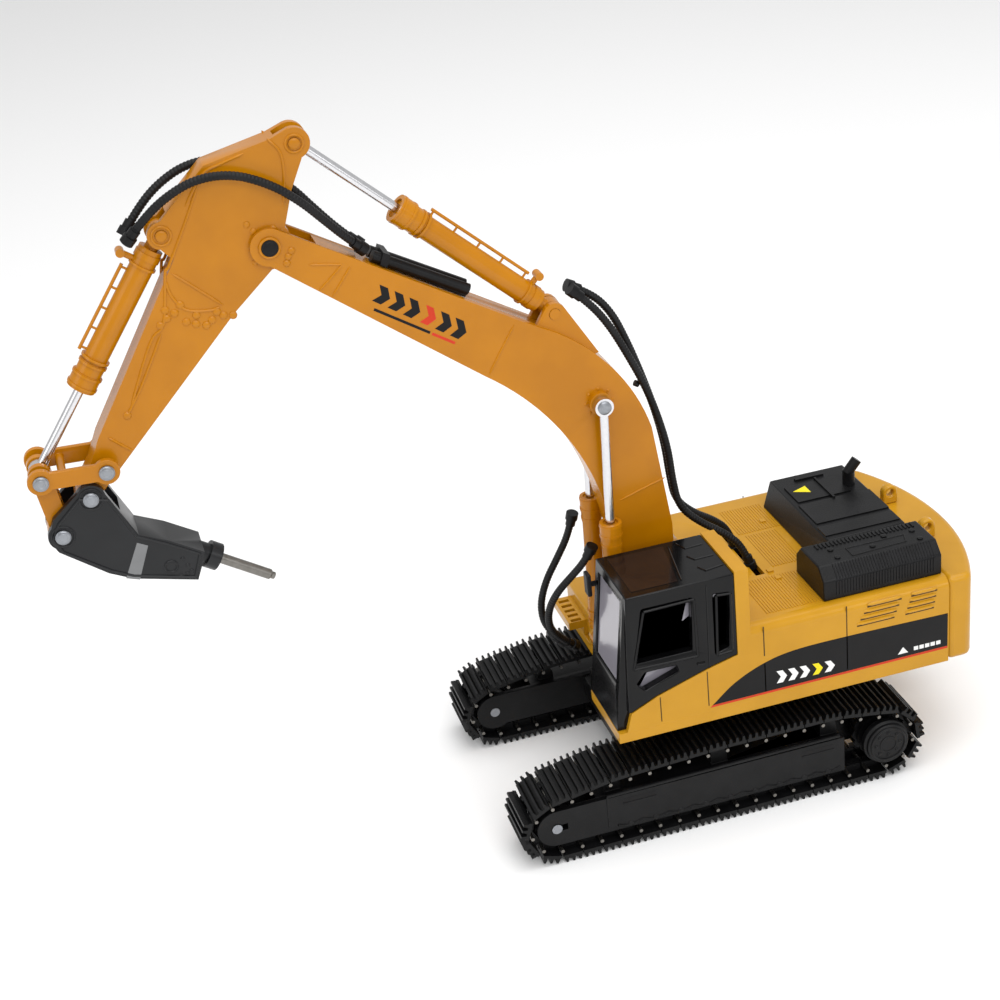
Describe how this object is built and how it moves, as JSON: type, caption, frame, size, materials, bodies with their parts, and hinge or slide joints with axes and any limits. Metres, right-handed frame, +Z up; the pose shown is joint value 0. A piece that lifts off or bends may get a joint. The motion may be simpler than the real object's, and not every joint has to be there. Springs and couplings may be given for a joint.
{
  "type": "toy excavator",
  "caption": "Die-cast toy tracked excavator with a hydraulic breaker: slewing house, gooseneck boom, stick, telescoping cylinders, linkage and chain tracks.",
  "frame": {"origin": "middle of the overall box's footprint, at ground level under the tracks", "axes": "+X forward, the way the boom reaches; +Y to the cab side; +Z up"},
  "size_m": [0.2056, 0.0654, 0.1687],
  "materials": {
    "boom_paint": "deep amber gloss enamel",
    "breaker_paint": "dark grey satin enamel",
    "bright_steel": "bare rivet steel",
    "cab_plastic": "black gloss",
    "cylinder_paint": "deep amber gloss enamel",
    "dark_steel": "dark bare steel",
    "frame_metal": "black satin enamel",
    "hood_plastic": "black satin",
    "hose_rubber": "black ribbed",
    "house_paint": "warm yellow gloss enamel",
    "plated_steel": "bright plated",
    "seat_plastic": "black",
    "track_plastic": "black, lightly sheened",
    "window_plastic": "dark smoke, see-through in the finished look"
  },
  "bodies": {
    "undercarriage": {"lower_frame": "frame_metal", "slew_screw": "bright_steel", "track_frame_left": "track_plastic", "track_frame_right": "track_plastic", "track_shoes_left": "track_plastic", "track_shoes_right": "track_plastic", "track_pins_left": "bright_steel", "track_pins_right": "bright_steel", "wheel_axles": "bright_steel"},
    "house": {"house_floor": "house_paint", "body_casing": "house_paint", "counterweight": "house_paint", "lifting_lugs": "house_paint", "engine_hood": "hood_plastic", "exhaust_pipe": "hood_plastic", "cab_shell": "cab_plastic", "cab_windows": "window_plastic", "driver_seat": "seat_plastic", "tool_box": "house_paint", "step_grate": "house_paint", "cab_mirror": "hood_plastic", "casing_screws": "bright_steel", "boom_base_pins": "bright_steel", "boom_hose_left": "hose_rubber", "boom_hose_right": "hose_rubber", "lift_hose_left": "hose_rubber", "lift_hose_right": "hose_rubber"},
    "boom_arm": {"boom": "boom_paint", "elbow_pin": "hood_plastic", "lift_eye_pin": "bright_steel", "stick_cylinder_base_pin": "bright_steel", "hose_duct": "hood_plastic", "hose_clamp": "hood_plastic"},
    "stick_arm": {"stick": "boom_paint", "stick_crest_pin": "bright_steel", "breaker_cylinder_base_pin": "bright_steel", "rocker_pin": "bright_steel", "breaker_pin": "bright_steel", "arm_hose_left": "hose_rubber", "arm_hose_right": "hose_rubber"},
    "breaker": {"breaker_body": "breaker_paint", "chisel": "dark_steel", "link_pin": "bright_steel"},
    "rocker_arm": {"rocker": "boom_paint", "rocker_end_pin": "bright_steel"},
    "link_arm": {"link": "boom_paint"},
    "lift_barrels": {"lift_barrel_left": "cylinder_paint", "lift_barrel_right": "cylinder_paint"},
    "lift_rods": {"lift_rod_left": "plated_steel", "lift_rod_right": "plated_steel"},
    "stick_barrel": {"stick_cylinder_barrel": "cylinder_paint"},
    "stick_rod": {"stick_cylinder_rod": "plated_steel"},
    "breaker_barrel": {"breaker_cylinder_barrel": "cylinder_paint"},
    "breaker_rod": {"breaker_cylinder_rod": "plated_steel"},
    "drive_wheel_left": {"sprocket_left": "track_plastic", "hub_cap_left": "track_plastic"},
    "drive_wheel_right": {"sprocket_right": "track_plastic", "hub_cap_right": "track_plastic"},
    "idler_wheel_left": {"idler_left": "track_plastic"},
    "idler_wheel_right": {"idler_right": "track_plastic"}
  },
  "joints": [
    {"name": "slew", "type": "hinge", "parent": "undercarriage", "child": "house", "pos_m": [-0.03285, 0, 0.0264], "axis": [0, 0, 1], "continuous": true},
    {"name": "drive_left", "type": "hinge", "parent": "undercarriage", "child": "drive_wheel_left", "pos_m": [-0.07285, 0, 0.0099], "axis": [0, 1, 0], "continuous": true},
    {"name": "drive_right", "type": "hinge", "parent": "undercarriage", "child": "drive_wheel_right", "pos_m": [-0.07285, 0, 0.0099], "axis": [0, 1, 0], "continuous": true},
    {"name": "idler_left_spin", "type": "hinge", "parent": "undercarriage", "child": "idler_wheel_left", "pos_m": [0.00745, 0, 0.009], "axis": [0, 1, 0], "continuous": true},
    {"name": "idler_right_spin", "type": "hinge", "parent": "undercarriage", "child": "idler_wheel_right", "pos_m": [0.00745, 0, 0.009], "axis": [0, 1, 0], "continuous": true},
    {"name": "boom_lift", "type": "hinge", "parent": "house", "child": "boom_arm", "pos_m": [-0.02935, 0, 0.04], "axis": [0, -1, 0], "range_deg": [-42, 5], "deforming": ["boom_hose_left", "boom_hose_right"]},
    {"name": "lift_barrels_swing", "type": "hinge", "parent": "house", "child": "lift_barrels", "pos_m": [-0.01735, 0, 0.031], "axis": [0, -1, 0], "range_deg": [-38.4, 4.6], "deforming": ["lift_hose_left", "lift_hose_right"]},
    {"name": "lift_rods_swing", "type": "hinge", "parent": "boom_arm", "child": "lift_rods", "pos_m": [-0.01865, 0, 0.0978], "axis": [0, -1, 0], "range_deg": [-0.5, 3.8]},
    {"name": "stick_swing", "type": "hinge", "parent": "boom_arm", "child": "stick_arm", "pos_m": [0.04665, 0, 0.146], "axis": [0, -1, 0], "range_deg": [-30, 15], "deforming": ["arm_hose_left", "arm_hose_right"]},
    {"name": "stick_barrel_swing", "type": "hinge", "parent": "boom_arm", "child": "stick_barrel", "pos_m": [-0.01085, 0, 0.1195], "axis": [0, -1, 0], "range_deg": [-4.1, 2.1]},
    {"name": "stick_rod_swing", "type": "hinge", "parent": "stick_arm", "child": "stick_rod", "pos_m": [0.03845, 0, 0.1655], "axis": [0, -1, 0], "range_deg": [-13.1, 26]},
    {"name": "breaker_curl", "type": "hinge", "parent": "stick_arm", "child": "breaker", "pos_m": [0.09125, 0, 0.1005], "axis": [0, -1, 0], "range_deg": [-45, 30]},
    {"name": "rocker_swing", "type": "hinge", "parent": "stick_arm", "child": "rocker_arm", "pos_m": [0.08695, 0, 0.1064], "axis": [0, -1, 0], "range_deg": [-26.5, 17.7]},
    {"name": "link_swing", "type": "hinge", "parent": "rocker_arm", "child": "link_arm", "pos_m": [0.10015, 0, 0.107], "axis": [0, -1, 0], "range_deg": [-0.5, 0.6]},
    {"name": "breaker_barrel_swing", "type": "hinge", "parent": "stick_arm", "child": "breaker_barrel", "pos_m": [0.06705, 0, 0.152], "axis": [0, -1, 0], "range_deg": [-3.8, 2.5]},
    {"name": "breaker_rod_swing", "type": "hinge", "parent": "rocker_arm", "child": "breaker_rod", "pos_m": [0.10015, 0, 0.107], "axis": [0, -1, 0], "range_deg": [-15.2, 22.8]}
  ],
  "couplings": [
    {"joint": "idler_left_spin", "follows": "drive_left", "ratio": 1.15},
    {"joint": "idler_right_spin", "follows": "drive_right", "ratio": 1.15},
    {"joint": "lift_barrels_swing", "follows": "boom_lift", "ratio": 0.912},
    {"joint": "lift_rods_swing", "follows": "boom_lift", "ratio": -0.088},
    {"joint": "stick_barrel_swing", "follows": "stick_swing", "ratio": 0.134},
    {"joint": "stick_rod_swing", "follows": "stick_swing", "ratio": -0.866},
    {"joint": "rocker_swing", "follows": "breaker_curl", "ratio": 0.5867},
    {"joint": "link_swing", "follows": "breaker_curl", "ratio": -0.0127},
    {"joint": "breaker_barrel_swing", "follows": "breaker_curl", "ratio": 0.082},
    {"joint": "breaker_rod_swing", "follows": "breaker_curl", "ratio": -0.5047}
  ]
}
